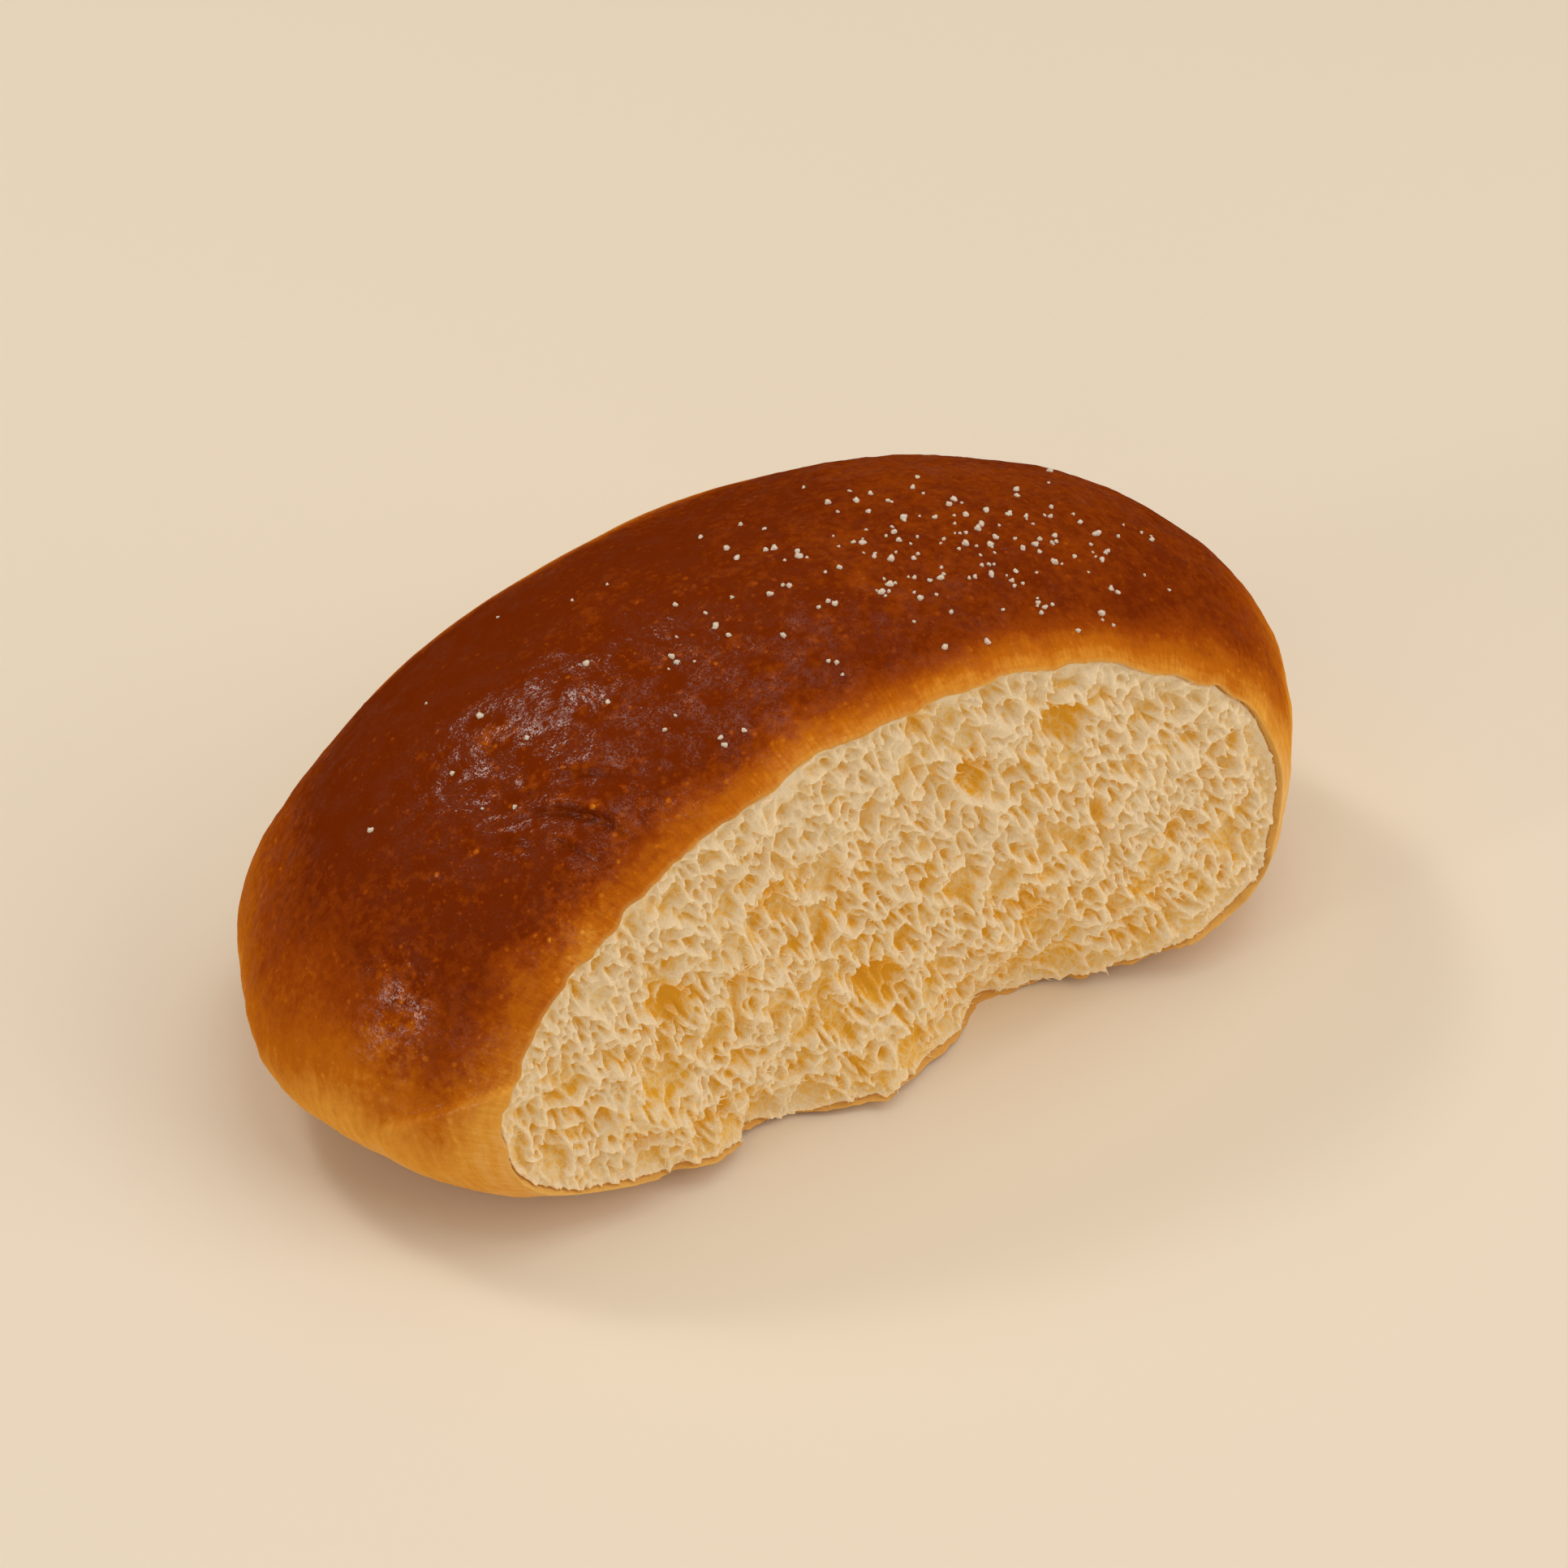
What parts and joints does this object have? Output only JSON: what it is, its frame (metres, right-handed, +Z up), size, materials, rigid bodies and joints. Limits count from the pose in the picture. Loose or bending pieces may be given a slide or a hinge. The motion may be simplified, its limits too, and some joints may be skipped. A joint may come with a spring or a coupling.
{
  "type": "bread roll",
  "caption": "Soft oblong bread roll with a domed brown crust, a flat base, torn crumb along both long sides and white grains on top.",
  "frame": {"origin": "on the base, below the middle of the roll's box", "axes": "+X along the roll towards its far end, -Y out of the torn side that shows, +Z up from the base"},
  "size_m": [0.117, 0.0554, 0.0484],
  "materials": {
    "crust": "browned, egg-washed bread crust with a satin gloss"
  },
  "bodies": {
    "root": {"bread_roll": "crust"}
  },
  "joints": []
}
